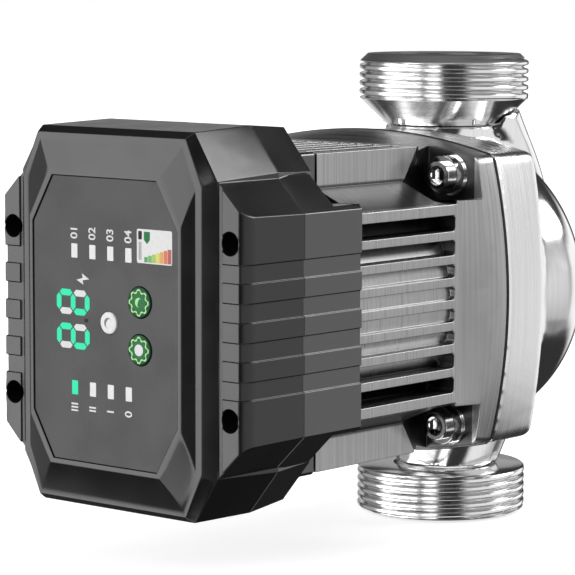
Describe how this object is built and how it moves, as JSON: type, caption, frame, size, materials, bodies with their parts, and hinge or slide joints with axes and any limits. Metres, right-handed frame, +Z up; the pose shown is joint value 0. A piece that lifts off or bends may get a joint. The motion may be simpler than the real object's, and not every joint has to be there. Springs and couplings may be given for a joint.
{
  "type": "circulator pump",
  "caption": "Wet-rotor heating circulator with two threaded ports, a finned motor housing, a spinning impeller and rotor, and an electronics box with push buttons on its panel.",
  "frame": {"origin": "centre of the lower port's sealing face, on the pipe axis", "axes": "+Z up the pipe axis to the upper port, -Y out of the control panel along the motor shaft, +X to the right of a person facing the panel"},
  "size_m": [0.0956, 0.1704, 0.13],
  "materials": {
    "black_plastic": "fine textured moulding",
    "button_green": "printed clear cap",
    "button_white": "satin white cap",
    "carbon_bearing": "sintered carbon",
    "ceramic_shaft": "polished ceramic",
    "circuit_board": "green solder mask",
    "component_black": "moulded component",
    "component_grey": "component can",
    "contact_brass": "plated contact",
    "copper_winding": "enamelled copper wire",
    "display_black": "dark display face",
    "impeller_plastic": "glass-filled moulding",
    "insulation": "moulded insulation",
    "lamination": "stacked steel sheet",
    "lamp_white": "translucent white",
    "magnet": "sintered magnet",
    "motor_casting": "gunmetal brushed aluminium",
    "panel_film": "smooth printed film",
    "rubber_seal": "moulded rubber",
    "screw_steel": "bright plated steel",
    "stainless_housing": "bright brushed stainless steel",
    "thin_steel": "thin pressed steel",
    "turned_steel": "machined and polished stainless steel"
  },
  "bodies": {
    "pump": {"base_screws": "screw_steel", "bearing_plate": "thin_steel", "board_spacers": "insulation", "box_base": "black_plastic", "bulk_capacitor": "component_grey", "button_switches": "component_grey", "cover_gasket": "rubber_seal", "cover_screws": "screw_steel", "digit_display": "display_black", "display_board": "circuit_board", "display_board_screws": "screw_steel", "display_film": "panel_film", "filter_capacitor": "component_black", "filter_choke": "copper_winding", "flange_screws": "screw_steel", "flange_washers": "screw_steel", "front_bearing": "carbon_bearing", "front_cover": "black_plastic", "housing_gasket": "rubber_seal", "inlet_pins": "contact_brass", "inlet_threaded_end": "turned_steel", "lamp_chips": "lamp_white", "lamp_guides": "lamp_white", "mains_inlet": "component_black", "motor_gasket": "rubber_seal", "motor_housing": "motor_casting", "neck_ring": "thin_steel", "outlet_threaded_end": "turned_steel", "power_board": "circuit_board", "power_board_screws": "screw_steel", "power_module": "component_black", "pump_housing": "stainless_housing", "rear_bearing": "carbon_bearing", "rear_bearing_carrier": "thin_steel", "rotor_can": "thin_steel", "stator_coils": "copper_winding", "stator_connector": "insulation", "stator_core": "lamination", "stator_insulator_back": "insulation", "stator_insulator_front": "insulation", "terminal_block": "insulation", "transformer": "component_black"},
    "rotor": {"shaft": "ceramic_shaft", "rotor_core": "lamination", "rotor_magnets": "magnet", "rotor_sleeve": "thin_steel", "thrust_bearing": "carbon_bearing", "thrust_retainer": "rubber_seal", "impeller": "impeller_plastic", "impeller_shroud": "impeller_plastic"},
    "button_upper": {"button_upper": "button_green"},
    "button_lower": {"button_lower": "button_green"},
    "button_centre": {"button_centre": "button_white"}
  },
  "joints": [
    {"name": "rotor_spin", "type": "hinge", "parent": "pump", "child": "rotor", "pos_m": [0, 0, 0.0659], "axis": [0, 1, 0], "continuous": true},
    {"name": "button_upper_press", "type": "slide", "parent": "pump", "child": "button_upper", "axis": [0, 1, 0], "range_m": [0, 0.0004], "stiffness_N_per_m": 1500, "springref_m": -0.0004},
    {"name": "button_lower_press", "type": "slide", "parent": "pump", "child": "button_lower", "axis": [0, 1, 0], "range_m": [0, 0.0004], "stiffness_N_per_m": 1500, "springref_m": -0.0004},
    {"name": "button_centre_press", "type": "slide", "parent": "pump", "child": "button_centre", "axis": [0, 1, 0], "range_m": [0, 0.0004], "stiffness_N_per_m": 1500, "springref_m": -0.0004}
  ]
}
